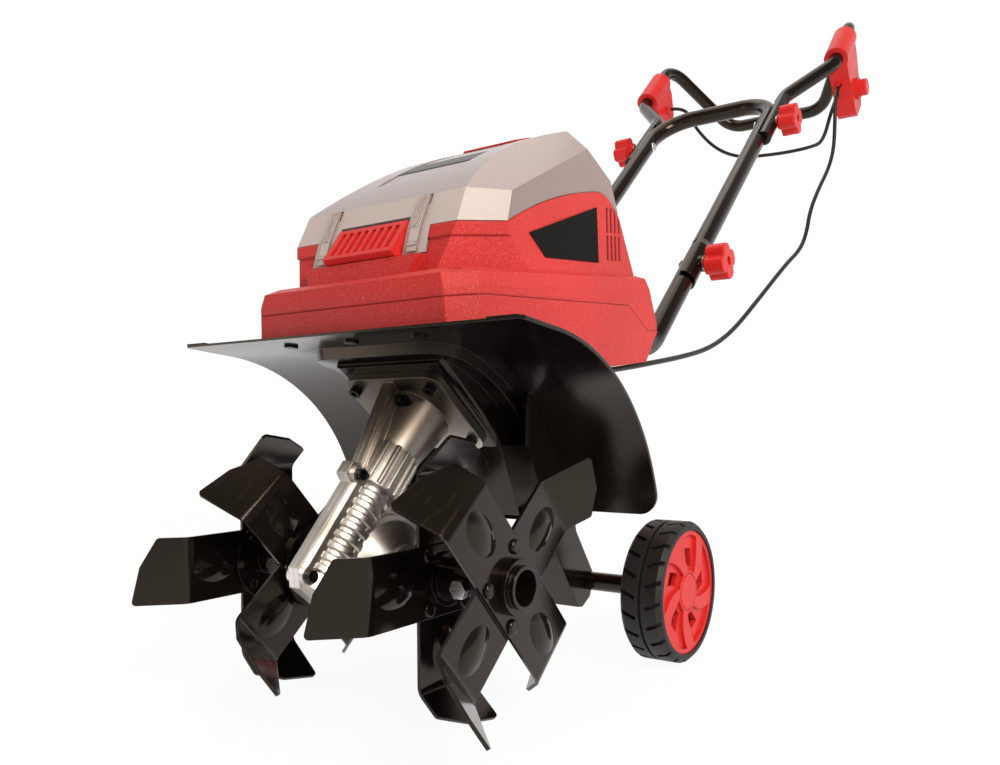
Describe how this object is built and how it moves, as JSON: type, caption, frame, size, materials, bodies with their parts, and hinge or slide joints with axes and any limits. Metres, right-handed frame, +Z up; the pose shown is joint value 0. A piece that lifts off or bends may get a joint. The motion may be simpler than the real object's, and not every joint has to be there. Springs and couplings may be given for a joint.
{
  "type": "cordless tiller",
  "caption": "Walk-behind cordless garden tiller with folding tube handle, star tines on a worm gearbox, sheet guard, battery housing with clear lid and two transport wheels.",
  "frame": {"origin": "floor level under the middle of the overall length and width", "axes": "+X to the machine's right, +Y to the rear towards the operator, +Z up"},
  "size_m": [0.408, 1.2848, 0.8106],
  "materials": {
    "red_plastic": "satin moulded",
    "red_gloss": "semi-gloss moulded",
    "clear_plastic": "frosted translucent",
    "black_label": "bare matte plate",
    "black_plastic": "moulded",
    "black_paint": "gloss black",
    "cast_aluminium": "bare die casting",
    "motor_steel": "plain",
    "bronze": "machined",
    "black_screws": "black oxide",
    "zinc": "zinc plated",
    "seal_rubber": "moulded",
    "tyre_rubber": "moulded",
    "cable_black": "sheathed"
  },
  "bodies": {
    "chassis": {"lower_housing": "red_plastic", "upper_housing": "red_plastic", "front_grille": "red_gloss", "label_plates": "black_label", "battery_tray": "black_plastic", "controller_unit": "black_plastic", "motor_can": "motor_steel", "tine_guard": "black_paint", "chassis_screws": "black_screws", "gear_case_right": "cast_aluminium", "gear_case_left": "cast_aluminium", "gearbox_bearings": "motor_steel", "shaft_seals": "seal_rubber", "wheel_bracket": "black_paint", "wheel_axle": "black_paint", "lower_tubes": "black_paint", "lower_bolts": "zinc", "cable_gland": "seal_rubber", "lid_hinge_pins": "motor_steel", "main_cable_lower": "cable_black"},
    "tine_rotor": {"tine_shaft": "motor_steel", "worm_wheel": "bronze", "tine_hub_right": "black_paint", "tine_hub_left": "black_paint", "tine_star_right_inner": "black_paint", "tine_star_right_outer": "black_paint", "tine_star_left_inner": "black_paint", "tine_star_left_outer": "black_paint", "tine_rivets": "black_paint", "hub_bolts": "zinc"},
    "motor_drive": {"worm_shaft": "motor_steel", "motor_rotor": "motor_steel"},
    "wheel_right": {"tyre_right": "tyre_rubber", "wheel_rim_right": "red_gloss", "hub_cap_right": "red_gloss"},
    "wheel_left": {"tyre_left": "tyre_rubber", "wheel_rim_left": "red_gloss", "hub_cap_left": "red_gloss"},
    "lid": {"battery_lid": "clear_plastic", "lid_trim": "red_gloss"},
    "latch_right": {"lid_latch_right": "clear_plastic"},
    "latch_left": {"lid_latch_left": "clear_plastic"},
    "pack_right": {"battery_right": "black_plastic"},
    "pack_left": {"battery_left": "black_plastic"},
    "mid_handle": {"middle_frame": "black_paint", "upper_bolts": "zinc"},
    "top_handle": {"upper_handle": "black_paint", "switch_box_outer": "red_gloss", "switch_box_inner": "red_gloss", "left_box_inner": "red_gloss", "left_box_outer": "red_gloss", "main_cable_upper": "cable_black", "link_cable": "cable_black"},
    "knob_low_right": {"lower_knob_right": "red_gloss"},
    "knob_low_left": {"lower_knob_left": "red_gloss"},
    "knob_top_right": {"upper_knob_right": "red_gloss"},
    "knob_top_left": {"upper_knob_left": "red_gloss"},
    "button": {"safety_button": "red_gloss"},
    "lever_right": {"trigger_right": "black_plastic"},
    "lever_left": {"trigger_left": "black_plastic"}
  },
  "joints": [
    {"name": "tine_spin", "type": "hinge", "parent": "chassis", "child": "tine_rotor", "pos_m": [0, -0.52362, 0.11896], "axis": [1, 0, 0], "continuous": true},
    {"name": "motor_spin", "type": "hinge", "parent": "chassis", "child": "motor_drive", "pos_m": [0, -0.55704, 0.1548], "axis": [0, 0.7314, 0.682], "continuous": true},
    {"name": "wheel_spin_right", "type": "hinge", "parent": "chassis", "child": "wheel_right", "pos_m": [0.184, -0.33262, 0.0646], "axis": [1, 0, 0], "continuous": true},
    {"name": "wheel_spin_left", "type": "hinge", "parent": "chassis", "child": "wheel_left", "pos_m": [-0.184, -0.33262, 0.0646], "axis": [1, 0, 0], "continuous": true},
    {"name": "lid_hinge", "type": "hinge", "parent": "chassis", "child": "lid", "pos_m": [0, -0.23662, 0.42296], "axis": [-1, 0, 0], "range_deg": [0, 80]},
    {"name": "latch_flip_right", "type": "hinge", "parent": "lid", "child": "latch_right", "pos_m": [0.053, -0.48012, 0.42996], "axis": [-1, 0, 0], "range_deg": [0, 25], "stiffness_Nm_per_rad": 0.05},
    {"name": "latch_flip_left", "type": "hinge", "parent": "lid", "child": "latch_left", "pos_m": [-0.053, -0.48012, 0.42996], "axis": [-1, 0, 0], "range_deg": [0, 25], "stiffness_Nm_per_rad": 0.05},
    {"name": "pack_slide_right", "type": "slide", "parent": "chassis", "child": "pack_right", "axis": [0, -1, 0], "range_m": [0, 0.02]},
    {"name": "pack_slide_left", "type": "slide", "parent": "chassis", "child": "pack_left", "axis": [0, -1, 0], "range_m": [0, 0.02]},
    {"name": "handle_fold", "type": "hinge", "parent": "chassis", "child": "mid_handle", "pos_m": [0, -0.04579, 0.38483], "axis": [-1, 0, 0], "range_deg": [-100, 0], "deforming": ["main_cable_lower"]},
    {"name": "top_fold", "type": "hinge", "parent": "mid_handle", "child": "top_handle", "pos_m": [0, 0.26001, 0.60702], "axis": [1, 0, 0], "range_deg": [-120, 0], "deforming": ["main_cable_upper"]},
    {"name": "knob_turn_low_right", "type": "hinge", "parent": "chassis", "child": "knob_low_right", "pos_m": [0.13, -0.04579, 0.38483], "axis": [1, 0, 0], "continuous": true},
    {"name": "knob_turn_low_left", "type": "hinge", "parent": "chassis", "child": "knob_low_left", "pos_m": [-0.13, -0.04579, 0.38483], "axis": [1, 0, 0], "continuous": true},
    {"name": "knob_turn_top_right", "type": "hinge", "parent": "mid_handle", "child": "knob_top_right", "pos_m": [0.14, 0.26001, 0.60702], "axis": [1, 0, 0], "continuous": true},
    {"name": "knob_turn_top_left", "type": "hinge", "parent": "mid_handle", "child": "knob_top_left", "pos_m": [-0.14, 0.26001, 0.60702], "axis": [1, 0, 0], "continuous": true},
    {"name": "button_press", "type": "slide", "parent": "top_handle", "child": "button", "axis": [-1, 0, 0], "range_m": [0, 0.005], "stiffness_N_per_m": 400},
    {"name": "lever_squeeze_right", "type": "hinge", "parent": "top_handle", "child": "lever_right", "pos_m": [0.17, 0.48703, 0.74387], "axis": [-1, 0, 0], "range_deg": [0, 10], "stiffness_Nm_per_rad": 0.6},
    {"name": "lever_squeeze_left", "type": "hinge", "parent": "top_handle", "child": "lever_left", "pos_m": [-0.17, 0.48703, 0.74387], "axis": [-1, 0, 0], "range_deg": [0, 10], "stiffness_Nm_per_rad": 0.6}
  ],
  "couplings": [
    {"joint": "motor_spin", "follows": "tine_spin", "ratio": 26}
  ]
}
